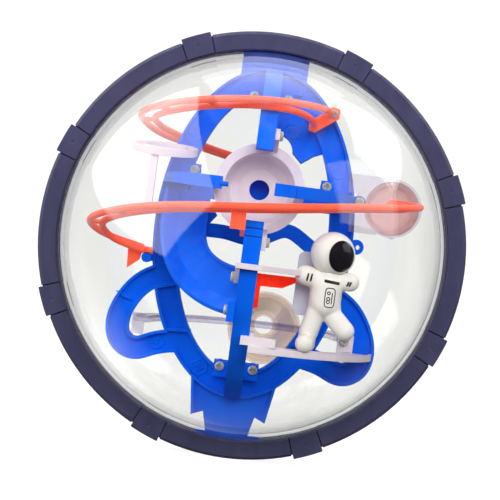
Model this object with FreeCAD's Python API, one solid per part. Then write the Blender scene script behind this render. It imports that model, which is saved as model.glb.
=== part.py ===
"""Tilt maze game: a clear sphere in a dark ring, with ball tracks, a bowl and a spaceman inside.

Frame: the origin is the sphere's centre, +Z is up along the maze and -Y is the front, so the ring
lies in the XZ plane. Flat pieces are drawn as (x, height) or (forward, height) and stood up.
"Forward" is the distance towards the front, so y is minus forward.
"""
import FreeCAD, Part
import math
import os

os.makedirs("parts", exist_ok=True)
V = FreeCAD.Vector
ORIGIN = V(0, 0, 0)

# Driving sizes, mm
RIM_R = 90.0  # outside radius of the dark ring
RIM_BAND = 8.0  # ring's width from its inside to its outside
RIM_HALF = 7.0  # half the ring's width from front to rear
DOME_GAP = 0.5  # between the ring's inside and the sphere
DOME_WALL = 2.0
FLANGE_REACH = 4.5  # how far the domes' flange stands out from the sphere
FLANGE_T = 2.6  # thickness of each dome's flange
CLIP_COUNT = 8
CLIP_HALF_ANGLE = 4.0  # degrees
CLIP_WALL = 1.7
CLIP_PROUD = 1.3  # how far a clip stands out from the ring
CLIP_GAP_ANGLE = 0.4  # degrees of gap beside each clip
TRACK_W = 10.5  # width of a ball track over its rims
TRACK_DEPTH = 7.0  # both channels of a track, and its floor
TRACK_FLOOR = 2.4
RIM_T = 1.2  # thickness of a track's rims
LOOP_Z = 5.0  # height of the loop's centre
LOOP_HALF_W = 42.0
LOOP_HALF_H = 70.0
ARCH_REACH = 62.0  # how far the arches stand out to the front and rear
ARCH_W = 10.0
BAR_HALF_W = 40.4  # half width of the level cross bars' oval
BALL_R = 3.5
SCREW_HEAD_R = 2.0
SCREW_HEAD_H = 1.4
SCREW_SHANK_R = 0.9
BOWL_R = 18.2
WIRE_R = 1.45
LAYOUT_SPHERE_R = 81.5  # sphere that the maze's places are laid out for

# Worked out from the driving sizes
RIM_INNER_R = RIM_R - RIM_BAND
DOME_R = RIM_INNER_R - DOME_GAP
DOME_INNER_R = DOME_R - DOME_WALL
FLANGE_R = DOME_R + FLANGE_REACH
CLIP_R = RIM_R + CLIP_PROUD
CLIP_HALF = RIM_HALF + 0.3
MAZE_SCALE = DOME_R / LAYOUT_SPHERE_R
HALF = TRACK_DEPTH / 2
FLOOR = TRACK_FLOOR / 2
TAB_HALF_W = 14.0
TAB_END = 84.0  # how far the plate's two tabs reach into the flanges
CLEAR = 0.1  # running clearance


# Helpers: drawing


def poly(points):
    """Flat face with straight sides."""
    corners = [V(x, y, 0) for x, y in points]
    return Part.Face(Part.makePolygon(corners + corners[:1]))


def rect(x0, y0, x1, y1):
    """Flat rectangle."""
    return poly([(x0, y0), (x1, y0), (x1, y1), (x0, y1)])


def disc(x, y, radius):
    """Flat round face."""
    return Part.Face(Part.Wire(Part.makeCircle(radius, V(x, y, 0))))


def oval(x, y, half_w, half_h):
    """Flat elliptical face, wider or taller than it is high."""
    side = V(x + half_w, y, 0)
    top = V(x, y + half_h, 0)
    if half_w >= half_h:
        curve = Part.Ellipse(side, top, V(x, y, 0))
    else:
        curve = Part.Ellipse(top, side, V(x, y, 0))
    return Part.Face(Part.Wire(curve.toShape()))


def ring(outer, inner):
    """Flat face with the inner one cut out of it."""
    return outer.cut(inner).Faces[0]


def smooth_line(points):
    """Smooth curve through points in space."""
    curve = Part.BSplineCurve()
    curve.interpolate([V(*p) for p in points])
    return curve


def band(points, width, steps=24):
    """Flat strip of even width along a smooth line."""
    curve = smooth_line([(x, y, 0) for x, y in points])
    edges = []
    for side in (1, -1):
        rim = []
        for i in range(steps + 1):
            t = curve.FirstParameter + (curve.LastParameter - curve.FirstParameter) * i / steps
            along = curve.tangent(t)[0]
            rim.append(curve.value(t) + V(-along.y, along.x, 0) * (side * width / 2))
        edges.append(rim)
    left, right = edges
    sides = [smooth_line(left).toShape(), Part.makeLine(left[-1], right[-1])]
    sides += [smooth_line(right).toShape(), Part.makeLine(right[0], left[0])]
    return Part.Face(Part.Wire(Part.__sortEdges__(sides)))


# Helpers: solids


def slab(face, z0, z1):
    """Plan drawing made solid between two heights."""
    return face.translated(V(0, 0, z0)).extrude(V(0, 0, z1 - z0))


def front_slab(face, forward0, forward1):
    """(x, height) drawing made solid between two distances forward."""
    solid = slab(face, forward0, forward1)
    solid.rotate(ORIGIN, V(1, 0, 0), 90)
    return solid


def side_slab(face, x0, x1):
    """(forward, height) drawing made solid between two x."""
    solid = slab(face, -x1, -x0)
    solid.rotate(ORIGIN, V(1, 0, 0), 90)
    solid.rotate(ORIGIN, V(0, 0, 1), -90)
    return solid


def box(x0, x1, forward0, forward1, z0, z1):
    """Upright block."""
    return Part.makeBox(x1 - x0, forward1 - forward0, z1 - z0, V(x0, -forward1, z0))


def join(solids):
    """One solid from touching or overlapping ones, with its split faces merged where that is sound."""
    body = solids[0].fuse(solids[1:])
    merged = body.removeSplitter()
    if not merged.isValid():
        merged = body
        merged.fix(1e-6, 1e-6, 1e-3)
    return merged


def track(outlines, channels, place, depth=TRACK_DEPTH, floor=TRACK_FLOOR):
    """Track with a ball channel on each face of a thin floor."""
    body = join([place(face, -depth / 2, depth / 2) for face in outlines])
    for face in channels:
        body = body.cut(place(face, floor / 2, depth / 2))
        body = body.cut(place(face, -depth / 2, -floor / 2))
    return body


def rod(points, radius):
    """Round wire along a smooth line."""
    curve = smooth_line(points)
    start = curve.value(curve.FirstParameter)
    along = curve.tangent(curve.FirstParameter)[0]
    section = Part.Wire(Part.makeCircle(radius, start, along))
    return Part.Wire(curve.toShape()).makePipeShell([section], True, False)


def capsule(start, end, radius):
    """Cylinder with round ends."""
    a = V(*start)
    b = V(*end)
    shaft = Part.makeCylinder(radius, (b - a).Length, a, b - a)
    return join([shaft, Part.makeSphere(radius, a), Part.makeSphere(radius, b)])


def turned(points, angle=360.0):
    """Solid of revolution about Y from a closed (radius, y) outline of straight sides."""
    return poly(points).revolve(ORIGIN, V(0, 1, 0), angle)


def about_y(shape, angle):
    """Copy turned about the ring's axis."""
    copy = shape.copy()
    copy.rotate(ORIGIN, V(0, 1, 0), angle)
    return copy


def mirrored(points):
    """(x, height) points flipped left to right."""
    return [(-x, y) for x, y in points]


# Shell


def dome(side):
    """Clear half sphere with a flat flange. side is -1 at the front and 1 at the rear."""
    root = math.sqrt(DOME_R ** 2 - FLANGE_T ** 2)
    low = DOME_R * math.sin(math.pi / 4)
    low_inner = DOME_INNER_R * math.sin(math.pi / 4)
    outer_arc = Part.Arc(V(0, side * DOME_R, 0), V(low, side * low, 0), V(root, side * FLANGE_T, 0))
    inner_top = V(0, side * DOME_INNER_R, 0)
    inner_arc = Part.Arc(V(DOME_INNER_R, 0, 0), V(low_inner, side * low_inner, 0), inner_top)
    flange = [(root, side * FLANGE_T), (FLANGE_R, side * FLANGE_T), (FLANGE_R, 0), (DOME_INNER_R, 0)]
    corners = [V(x, y, 0) for x, y in flange]
    edges = [outer_arc.toShape(), Part.makePolygon(corners), inner_arc.toShape()]
    edges.append(Part.makeLine(inner_top, V(0, side * DOME_R, 0)))
    flat = [edge for shape in edges for edge in shape.Edges]
    shell = Part.Face(Part.Wire(Part.__sortEdges__(flat))).revolve(ORIGIN, V(0, 1, 0), 360)
    half_w = TAB_HALF_W * MAZE_SCALE + CLEAR
    depth = FLOOR * MAZE_SCALE
    for end in (-1, 1):
        near, far = sorted((end * (DOME_INNER_R - 3), end * (TAB_END * MAZE_SCALE + CLEAR)))
        pocket = rect(-half_w, near, half_w, far)
        shell = shell.cut(front_slab(pocket, *sorted((0, -side * depth))))
    return shell


def rim_half(side):
    """Half of the dark ring, with a groove for the flange and a notch for each clip."""
    bevel = 1.2
    groove_r = FLANGE_R + 0.3
    section = [(groove_r, 0), (RIM_R, 0), (RIM_R, side * (RIM_HALF - bevel))]
    section += [(RIM_R - bevel, side * RIM_HALF), (RIM_INNER_R + 0.6, side * RIM_HALF)]
    section += [(RIM_INNER_R, side * (RIM_HALF - 0.6)), (RIM_INNER_R, side * FLANGE_T)]
    section.append((groove_r, side * FLANGE_T))
    body = turned(section)
    leg = CLIP_HALF - CLIP_WALL
    web = CLIP_R - CLIP_WALL
    notch = [(RIM_INNER_R - 1, side * leg), (web, side * leg), (web, -side), (CLIP_R, -side)]
    notch += [(CLIP_R, side * (CLIP_HALF + 1)), (RIM_INNER_R - 1, side * (CLIP_HALF + 1))]
    span = 2 * (CLIP_HALF_ANGLE + CLIP_GAP_ANGLE)
    cutter = turned(notch, span)
    for i in range(CLIP_COUNT):
        body = body.cut(about_y(cutter, clip_angle(i) - span / 2))
    return body


def clip_angle(i):
    """Angle of a clip's middle about Y, from +X. The tabs sit midway between clips."""
    return 360.0 / CLIP_COUNT * (i + 0.5)


def rim_clip(i):
    """Clip that grips both halves of the ring, with the mark of its moulding gate at the front."""
    leg = CLIP_HALF - CLIP_WALL
    web = CLIP_R - CLIP_WALL
    foot = RIM_INNER_R + 0.3
    section = [(foot, -CLIP_HALF), (CLIP_R, -CLIP_HALF), (CLIP_R, CLIP_HALF), (foot, CLIP_HALF)]
    section += [(foot, leg), (web, leg), (web, -leg), (foot, -leg)]
    body = turned(section, 2 * CLIP_HALF_ANGLE)
    edges = [e for e in body.Edges if on_outside(e)]
    body = body.makeFillet(0.5, edges)
    body = about_y(body, -CLIP_HALF_ANGLE)
    gate = Part.makeCylinder(0.7, 0.25, V((foot + CLIP_R) / 2, -CLIP_HALF, 0), V(0, 1, 0))
    return about_y(body.cut(gate), clip_angle(i))


def on_outside(edge):
    """True for an edge on the outer corners of a clip."""
    ends = [v.Point for v in edge.Vertexes]
    return all(abs(abs(p.y) - CLIP_HALF) < 0.01 and math.hypot(p.x, p.z) > CLIP_R - 0.01 for p in ends)


# Main plate: loop, fins and two tabs in one moulding

FIN_LINE = [(-28, -14.5), (-36, -17), (-43, -21), (-49.5, -29.5), (-52.2, -39)]
FIN_LINE += [(-49.8, -46.5), (-44, -49.2), (-37, -46.8), (-29, -44.5), (-21, -44)]
FIN_W = 9.6
SCREW_LUGS = [(-7, -52), (7, -52), (-7, 62.5), (7, 62.5), (-28, 28.5), (28, 28.5), (42.4, 24), (43.5, -35)]
LUG_R = 2.6
PEG = (-43.2, -10.6)  # the lower rail's end rests on this
PEG_R = 2.1


def loop_oval(inset):
    """Outline of the loop, drawn in by the inset."""
    return oval(0, LOOP_Z, LOOP_HALF_W - inset, LOOP_HALF_H - inset)


def fin(points):
    """Fin track that leaves the loop and comes back to it."""
    opening = front_slab(loop_oval(TRACK_W), -HALF, HALF)
    outline = front_slab(band(points, FIN_W), -HALF, HALF).cut(opening)
    channel = band(points, FIN_W - 2 * RIM_T)
    rail = front_slab(loop_oval(TRACK_W - RIM_T), -HALF, HALF)
    cut = [front_slab(channel, *span).cut(rail) for span in ((FLOOR, HALF), (-HALF, -FLOOR))]
    return outline, cut


def landing():
    """Corner landing on the loop's upper right, with two low ribs."""
    upper = [(3.3, 70), (3.3, 47.5), (6, 46.5), (11, 43.5), (10, 42.5), (16, 36.8), (21, 40.5)]
    upper += [(28, 43.5), (28, 70)]
    cove = front_slab(disc(4.5, 40.5, 7.4), -HALF, HALF)
    inside = front_slab(loop_oval(RIM_T), -HALF, HALF)
    floor = front_slab(poly(upper), -FLOOR, FLOOR)
    ribs = [front_slab(rect(3.3, 47, 4.5, 66), -HALF, HALF)]
    ribs.append(front_slab(rect(3.3, 65, 12.5, 66), -HALF, HALF))
    ribs.append(front_slab(rect(11.5, 65, 12.5, 68.5), -HALF, HALF))
    lower = [(10.6, 42), (16, 37.2), (21.4, 41), (20.7, 42), (16, 38.7), (11.5, 42.6)]
    ribs.append(front_slab(poly(lower), -HALF, HALF))
    return join([floor] + ribs).cut(cove).common(inside)


def main_plate():
    """Loop, fins, top tab and tail in one piece."""
    body = track([ring(loop_oval(0), loop_oval(TRACK_W))], [], front_slab)
    left, left_cuts = fin(FIN_LINE)
    right, right_cuts = fin(mirrored(FIN_LINE))
    tab = front_slab(rect(-TAB_HALF_W, 62, TAB_HALF_W, TAB_END), -FLOOR, FLOOR)
    tab_edges = (-TAB_HALF_W, TAB_HALF_W - RIM_T)
    tab_rims = [front_slab(rect(x, 62, x + RIM_T, 77.6), -HALF, HALF) for x in tab_edges]
    tail = [(-18.5, -56), (-16.5, -74), (-11.5, -72), (-9.5, -80.2), (-TAB_HALF_W, -80.2)]
    tail += [(-TAB_HALF_W, -TAB_END), (TAB_HALF_W, -TAB_END), (TAB_HALF_W, -80.2), (8.5, -80.2)]
    tail += [(10.5, -72), (15, -74), (18, -57)]
    tail_floor = front_slab(poly(tail), -FLOOR, FLOOR)
    tail_rims = [[(-18.5, -56), (-16.5, -73.8), (-15.4, -73.3), (-17.3, -56)]]
    tail_rims.append([(18, -57), (15, -73.8), (13.9, -73.3), (16.8, -57)])
    tail_rims = [front_slab(poly(p), -HALF, HALF) for p in tail_rims]
    solids = [body, left, right, tab, tail_floor] + tab_rims + tail_rims
    body = join(solids).cut(front_slab(loop_oval(TRACK_W), -HALF, HALF))
    loop_channel = ring(loop_oval(RIM_T), loop_oval(TRACK_W - RIM_T))
    for span in ((FLOOR, HALF), (-HALF, -FLOOR)):
        body = body.cut(front_slab(loop_channel, *span))
    for cut in left_cuts + right_cuts:
        body = body.cut(cut)
    upper = [(-40, -23.2), (-36, -21.2), (-29, -19.4), (-29, -20.7), (-35.5, -22.5), (-39.4, -24.4)]
    lower = [(-36, -40.6), (-36, -39.4), (-21, -38.6), (-21, -39.8)]
    step = poly([(-54.6, -26.2), (-51, -26.8), (-47.2, -29.4), (-51.5, -28.6)])
    rims = [front_slab(step, FLOOR, FLOOR + 1.2)]
    inside = front_slab(loop_oval(0.2), -HALF, HALF)
    for cell in (upper, lower):
        for outline in (cell, mirrored(cell)):
            rims.append(front_slab(poly(outline), -HALF, HALF).common(inside))
    lugs = [front_slab(disc(x, z, LUG_R), -HALF, HALF) for x, z in SCREW_LUGS]
    lugs.append(front_slab(rect(43.5, -37.5, 48.2, -32.5), -HALF, HALF))
    lugs.append(front_slab(rect(38.5, 21.8, 42.4, 26.2), -HALF, HALF))
    lugs.append(front_slab(disc(*PEG, PEG_R), -HALF, 8.5))
    lugs.append(front_slab(rect(-43.2, -12, -40, -9.2), -HALF, HALF))
    lugs.append(front_slab(ring(disc(43.6, 5, 3.2), disc(44.4, 5, 1.0)), -HALF, HALF))
    return join([body, landing()] + rims + lugs)


# Arches and cross bars


def arch(keep, channel_keep):
    """Curved track in the plane of symmetry, cut to the blocks given."""
    def outline(inset):
        return oval(0, LOOP_Z, ARCH_REACH - inset, LOOP_HALF_H - inset * TRACK_W / ARCH_W)

    body = side_slab(ring(outline(0), outline(ARCH_W)), -HALF, HALF).common(keep)
    channel = ring(outline(RIM_T), outline(ARCH_W - RIM_T))
    for span in ((FLOOR, HALF), (-HALF, -FLOOR)):
        body = body.cut(side_slab(channel, *span).common(channel_keep))
    return body


FOOT_HALF_W = 9.5
FOOT_T = 1.8


def arch_foot(forward0, z0, z1):
    """Screw plate at the root of an arch."""
    return box(-FOOT_HALF_W, FOOT_HALF_W, forward0, forward0 + FOOT_T, z0, z1)


def spine_upper_front():
    """Short arch above the bowl."""
    tip = 38.0
    body = arch(box(-9, 9, HALF, 90, tip, 90), box(-9, 9, HALF + FOOT_T, 90, tip + RIM_T, 90))
    return join([body, arch_foot(HALF, 59.8, 66)])


def spine_lower_front():
    """Long arch below the bowl, with two seams across its front."""
    tip = 9.6
    body = arch(box(-9, 9, HALF, 90, -80, tip), box(-9, 9, HALF + FOOT_T, 90, -80, tip - RIM_T))
    for z in (3.2, 6.4):
        body = body.cut(box(-9, 9, ARCH_REACH - 0.9, 90, z, z + 0.5))
    return join([body, arch_foot(HALF, -56.5, -49.8)])


def spine_rear():
    """Full arch behind the plate."""
    body = arch(box(-9, 9, -90, -HALF, -80, 90), box(-9, 9, -90, -HALF - FOOT_T, -80, 90))
    return join([body, arch_foot(-HALF - FOOT_T, -56.5, -49.8), arch_foot(-HALF - FOOT_T, 59.8, 66)])


def cross_bar(side, tip):
    """Level arm that curves from the plate to the front, thinner at its root."""
    def outline(inset):
        return oval(0, 0, BAR_HALF_W - inset, ARCH_REACH - inset * ARCH_W / (ARCH_W - 0.1))

    def layer(low, high):
        """Side view of the arm between two shares of its half height."""
        stations = [(HALF, 23.6, 1.6), (28, 23.5, 2.1), (50, 23.0, 2.5), (ARCH_REACH + 1, 22.6, 2.5)]
        lower = [(f, z + low * h) for f, z, h in stations]
        upper = [(f, z + high * h) for f, z, h in reversed(stations)]
        return side_slab(poly(lower + upper), -60, 60)

    reach = box(*sorted((side * tip, side * 60)), HALF, 90, 10, 40)
    inside = box(*sorted((side * (tip + RIM_T), side * 60)), HALF + FOOT_T, 90, 10, 40)
    body = slab(ring(outline(0), outline(ARCH_W)), 10, 40).common(layer(-1, 1)).common(reach)
    hollow = slab(ring(outline(RIM_T), outline(ARCH_W - RIM_T)), 10, 40)
    for low, high in ((-1.1, -0.4), (0.4, 1.1)):
        body = body.cut(hollow.common(layer(low, high)).common(inside))
    foot = box(*sorted((side * 25.4, side * 34)), HALF, HALF + FOOT_T, 22.1, 31)
    return join([body, foot])


SEAM_SHARE = 0.9226  # forward places on the bars as shares of the arches' reach
PIN_SHARE = 0.92742


def cross_bar_right():
    """Arm from the right of the loop, with a seam where its lighter sleeve ends."""
    body = cross_bar(1, 6.0)
    seam = box(14.2, 14.7, SEAM_SHARE * ARCH_REACH, 90, 10, 40)
    return body.cut(seam)


def cross_bar_left():
    """Arm from the left of the loop, with a small pin at its end."""
    pin = Part.makeCylinder(1.0, 3.0, V(-15.2, -PIN_SHARE * ARCH_REACH, 22.4), V(1, 0, 0))
    return join([cross_bar(-1, 14.8), pin])


# Blue tracks behind and beside the plate

GALLERY_INNER_R = 29.0
GALLERY_W = 10.5
GALLERY_LOW = 18.0
GALLERY_HIGH = 24.5
GALLERY_FLOOR = 2.0


def gallery():
    """Level half ring behind the plate, where the ball rests."""
    outer = disc(0, 0, GALLERY_INNER_R + GALLERY_W)
    body = slab(ring(outer, disc(0, 0, GALLERY_INNER_R)), GALLERY_LOW, GALLERY_HIGH)
    groove = ring(disc(0, 0, GALLERY_INNER_R + GALLERY_W - RIM_T), disc(0, 0, GALLERY_INNER_R + RIM_T))
    body = body.cut(slab(groove, GALLERY_LOW + GALLERY_FLOOR, GALLERY_HIGH))
    body = body.common(box(-60, 60, -60, -HALF, 0, 40))
    stops = []
    for side in (-1, 1):
        x0, x1 = sorted((side * (GALLERY_INNER_R + 0.7), side * (GALLERY_INNER_R + GALLERY_W - 0.4)))
        stops.append(box(x0, x1, -HALF - RIM_T, -HALF, GALLERY_LOW, GALLERY_HIGH))
    return join([body] + stops).cut(spine_rear())


def steel_ball():
    """Ball at the middle of the gallery."""
    floor = GALLERY_LOW + GALLERY_FLOOR
    return Part.makeSphere(BALL_R, V(0, GALLERY_INNER_R + GALLERY_W / 2, floor + BALL_R))


def wavy_track_rear():
    """Wavy bridge across the rear of the loop."""
    line = [(-33, 4.2), (-20, 4.1), (-11, 4), (-4, 2.8), (2, 3), (8, 5.8), (14, 8)]
    line += [(20, 5.6), (26, 1.8), (33, -0.5)]
    body = front_slab(band(line, 6.0, 32), -HALF - 6, -HALF)
    body = body.cut(front_slab(band(line, 6.0 - 2 * RIM_T, 32), -HALF - 6, -HALF - 1.6))
    gusset = poly([(-24, 6), (-19.5, 6.4), (-16.3, 10.8), (-18.5, 13.6), (-24, 13.6)])
    return join([body, front_slab(gusset, -HALF - 2.4, -HALF)])


# x, forward and height of the slide's middle line, and the way its outer side faces in degrees
CHUTE_STATIONS = [(-28.5, 5.5, 19.5, 180), (-28.6, 6.6, 12, 184), (-28.0, 12, 2, 198)]
CHUTE_STATIONS += [(-24.6, 20.5, -7.6, 222), (-17.6, 31.5, -14.0, 246), (-9.6, 42, -17.0, 261)]
CHUTE_STATIONS.append((-3.5, 49.5, -17.6, 270))


def chute():
    """Wide banked slide from the loop's left limb round to the lower arch."""
    profile = [(-8.7, -2.2), (-8.7, 3), (-7.5, 3), (-7.5, 0), (4, 0), (9.2, 5), (10.7, 4.2), (5.2, -2.2)]
    wires = []
    for x, forward, z, angle in CHUTE_STATIONS:
        out = V(math.cos(math.radians(angle)), 0, math.sin(math.radians(angle)))
        points = [V(x, -forward, z) + out * s + V(0, -1, 0) * rise for s, rise in profile]
        wires.append(Part.makePolygon(points + points[:1]))
    body = Part.makeLoft(wires, True, False)
    body = body.cut(box(-60, 20, -20, HALF, -60, 60)).cut(box(-HALF, 20, 0, 80, -60, 60))
    body = body.cut(box(-8.4, -HALF, 51.4, 60, -30, -22.5))
    lug = box(-6.4, -HALF, 49.8, 57.4, -30.6, -22.8)
    return join([body, lug])


# Pale and clear parts

BOWL_Z = 22.7
BAR_CLEAR_AT_BOWL = math.sqrt(1 - (BOWL_R / (BAR_HALF_W - ARCH_W)) ** 2)
BOWL_FRONT = round((ARCH_REACH - ARCH_W) * BAR_CLEAR_AT_BOWL - 1.65, 1)  # just behind the bars beside it
BOWL_HOLE_R = 4.1
LIP_W = 3.8


def bowl():
    """Bowl that faces the front, with a hole in its floor and two ears on the arches."""
    lip = 3.0
    outer = [(BOWL_R, -BOWL_FRONT), (BOWL_R, lip - BOWL_FRONT), (BOWL_R - 2.4, lip - BOWL_FRONT)]
    outer += [(BOWL_R - 2.4, 8 - BOWL_FRONT), (9, 13.4 - BOWL_FRONT), (BOWL_HOLE_R, 13.4 - BOWL_FRONT)]
    inner = [(BOWL_HOLE_R, 11.6 - BOWL_FRONT), (8.3, 11.6 - BOWL_FRONT), (12, 9.4 - BOWL_FRONT)]
    inner += [(13.6, 6 - BOWL_FRONT), (BOWL_R - LIP_W - 0.4, 0.6 - BOWL_FRONT), (BOWL_R - LIP_W, -BOWL_FRONT)]
    body = turned(outer + inner)
    body.translate(V(0, 0, BOWL_Z))
    root, brim = BOWL_FRONT - 3.4, BOWL_FRONT
    inner_edge, outer_edge = ARCH_REACH - ARCH_W, ARCH_REACH - 2
    top = [(root, 38), (brim, 38), (inner_edge - 2, 42.5), (inner_edge - 4, 47), (inner_edge - 10, 47)]
    top.append((root, 41))
    low = [(root, 7), (root, 4), (inner_edge - 10, -1.5), (outer_edge, -1.5), (outer_edge, 4), (inner_edge, 7)]
    ears = [side_slab(poly(top), HALF, HALF + 1.8), side_slab(poly(low), HALF, HALF + 1.8)]
    neck = box(HALF, HALF + 1.8, root, brim - 0.6, 3.5, 8)
    mouth = [(0, -30 - BOWL_FRONT), (BOWL_R - LIP_W, -30 - BOWL_FRONT)]
    hollow = turned(mouth + [(13.8, 8 - BOWL_FRONT), (0, 8 - BOWL_FRONT)])
    hollow.translate(V(0, 0, BOWL_Z))
    return join([body] + [ear.cut(hollow) for ear in ears + [neck]])


def drop_elbow():
    """Blue cup behind the bowl's hole, open below, that drops the ball to the tracks."""
    start, end = 13.4 - BOWL_FRONT, 25.0 - BOWL_FRONT
    body = turned([(0, end), (6.8, end), (6.8, start), (5.4, start), (5.4, end - 1.4), (0, end - 1.4)])
    body.translate(V(0, 0, BOWL_Z))
    mouth = poly([(-1, BOWL_Z - 2.5), (9, BOWL_Z + 3.5), (9, BOWL_Z - 9), (-1, BOWL_Z - 9)])
    return body.cut(front_slab(mouth, 16.6, 25))


def white_ring():
    """Small level ring on a post."""
    x, forward, z = -40.6, 17.8, 34.9
    flat = slab(ring(disc(x, -forward, 13.5), disc(x, -forward, 8)), z - 1.5, z + 1.5)
    flat = flat.cut(slab(ring(disc(x, -forward, 12.4), disc(x, -forward, 9.1)), z - 0.2, z + 1.5))
    flat.rotate(V(x, -forward, z), V(1, 0, 0), 9)
    post = box(-45.5, -42.5, forward + 8.6, forward + 11.6, 9, z - 1.6)
    reach = [(-45.5, HALF), (-36.5, HALF), (-36.5, HALF + 2.4), (-42.5, HALF + 6), (-42.5, 29.4)]
    foot = slab(poly(reach + [(-45.5, 29.4)]), 9, 11.4)
    foot = foot.mirror(ORIGIN, V(0, 1, 0))
    return join([flat, post, foot])


CUP_X = 56.5
CUP_Z = 23.0
CUP_R = 11.5


def catch_tray():
    """Clear plate that carries the cup on the loop's right limb."""
    outline = [(36.6, 35.5), (37.4, 27.5), (40.9, 27.5), (40.9, 20), (38.5, 20), (39.5, 11)]
    outline += [(51, 11.2), (56, 35.5)]
    plate = front_slab(poly(outline), HALF, HALF + 2)
    rim = front_slab(disc(CUP_X, CUP_Z, CUP_R + 0.8), HALF, HALF + 2)
    hole = front_slab(disc(CUP_X, CUP_Z, CUP_R - 1.6), HALF, HALF + 2)
    peg = front_slab(disc(57.5, 11.4, 1.3), HALF, HALF + 3.5)
    return join([plate, rim, peg]).cut(hole)


def catch_cup():
    """Tinted cup behind the tray, open at the front."""
    wall = 1.6
    outer = [(0, 14), (CUP_R - 2.5, 14), (CUP_R - 0.4, 11), (CUP_R, -HALF)]
    inner = [(CUP_R - wall, -HALF), (CUP_R - wall - 0.4, 10.4), (CUP_R - 3.6, 12.4), (0, 12.4)]
    body = turned(outer + inner)
    body.translate(V(CUP_X, 0, CUP_Z))
    return body


WALK_LOW = -41.6
WALK_TOP = -38.9
WALK_INNER_R = 46.0
WALK_OUTER_R = 56.0


def walkway():
    """Level quarter ring from the lower arch to the right fin, with low rims."""
    def quarter(outer_r, inner_r, z0, z1):
        flat = slab(ring(disc(0, 0, outer_r), disc(0, 0, inner_r)), z0, z1)
        return flat.common(box(HALF, 60, HALF, 60, -60, 0))

    deck = quarter(WALK_OUTER_R, WALK_INNER_R, WALK_LOW, WALK_TOP)
    deck = deck.cut(quarter(WALK_OUTER_R - RIM_T, WALK_INNER_R + RIM_T, WALK_TOP - 0.6, WALK_TOP))
    ear = box(HALF, HALF + 1.8, 38, 50, WALK_LOW, -34)
    tab = box(40.9, 47.5, HALF, HALF + 2.4, WALK_LOW + 0.5, -32.2)
    brace = box(44, 47.5, HALF, 12, WALK_LOW, WALK_TOP - 0.6)
    return join([deck, ear, tab, brace])


def walkway_step():
    """Block in front of the lower arch, standing on the walkway."""
    body = box(0.2, 14, 50.7, 55, WALK_TOP, -35.4)
    return body.cut(box(1.4, 12.8, 51.9, 53.8, -37, -35.4))


def clear_rail_rear():
    """Clear ribbon round the rear between the fins."""
    def outline(inset):
        return oval(0, 0, 46.5 - inset, 59.2 - inset)

    low = -37.0
    body = slab(ring(outline(0), outline(7)), low, low + 1.6)
    for inset in (0, 6):
        body = join([body, slab(ring(outline(inset), outline(inset + 1)), low, low + 3)])
    body = body.common(box(-60, 60, -60, -HALF, -60, 0))
    body.rotate(V(0, 0, -36), V(0, 1, 0), -1.8)
    body = body.common(box(-60, 60, -60, -HALF, -60, 0))
    post = box(-46.4, -41.2, -HALF - 2, -HALF, -43.5, -34.6)
    hook = box(-46.4, -41.2, -HALF - 4, -HALF, -39, -34.6)
    return join([body, post, hook])


def rear_funnel():
    """Clear tinted funnel behind the loop's opening."""
    x, z = 9.6, -34.1
    outer = [(15.5, HALF), (15.5, HALF + 1.6), (14.6, HALF + 1.6), (6.4, 31), (4, 31)]
    inner = [(4, 30), (4.9, 29.4), (12.9, HALF + 1.6), (13.2, HALF)]
    body = turned(outer + inner)
    body.translate(V(x, 0, z))
    return body.cut(spine_rear())


def arm_bar():
    """Pale bar from the lower arch to the spaceman's arm, with a screw ear."""
    low, high = -9.4, -7.2
    line = [(-5.3, 61.4), (-5.3, 63.8), (1, 64), (5, 63.4), (21, 50.6), (19.6, 48.6), (4.6, 61), (3, 61.4)]
    bar = slab(poly([(x, -f) for x, f in line]), low, high)
    ear = [(51.5, -15.4), (56.5, -15.4), (63.8, -9), (63.8, low + 0.5), (58, low + 0.5)]
    return join([bar, side_slab(poly(ear), -5.3, -HALF)])


# Orange parts


def offset_line(points, across, up):
    """Line moved sideways in plan, square to its route, and up."""
    curve = smooth_line(points)
    out = []
    for p in points:
        along = curve.tangent(curve.parameter(V(*p)))[0]
        side = V(-along.y, along.x, 0).normalize()
        out.append(tuple(V(*p) + side * across + V(0, 0, up)))
    return out


def ladder_ties(curve_a, curve_b, shares, radius=1.0):
    """Short bars between two wires at shares of their length."""
    ties = []
    for share in shares:
        ends = []
        for curve in (curve_a, curve_b):
            t = curve.FirstParameter + (curve.LastParameter - curve.FirstParameter) * share
            ends.append(curve.value(t))
        ties.append(Part.makeCylinder(radius, (ends[1] - ends[0]).Length, ends[0], ends[1] - ends[0]))
    return ties


LOWER_RAIL = [(54, -9.2, 24.6), (61.5, -14, 24.6), (63.5, -25, 23.7), (54, -41, 21.8), (37, -55.5, 19.5)]
LOWER_RAIL += [(15, -65, 16.3), (-8, -66.4, 13.6), (-30, -60.5, 11.2), (-49, -46.5, 7.8), (-61.5, -31, 3.8)]
LOWER_RAIL += [(-64.6, -19, 0.3), (-60, -11, -3.4), (-51, -7.4, -6.0), (-44.8, -6.6, -7.3)]
RAIL_HALF_GAP = 2.6
RAIL_BANK = 0.5


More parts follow.
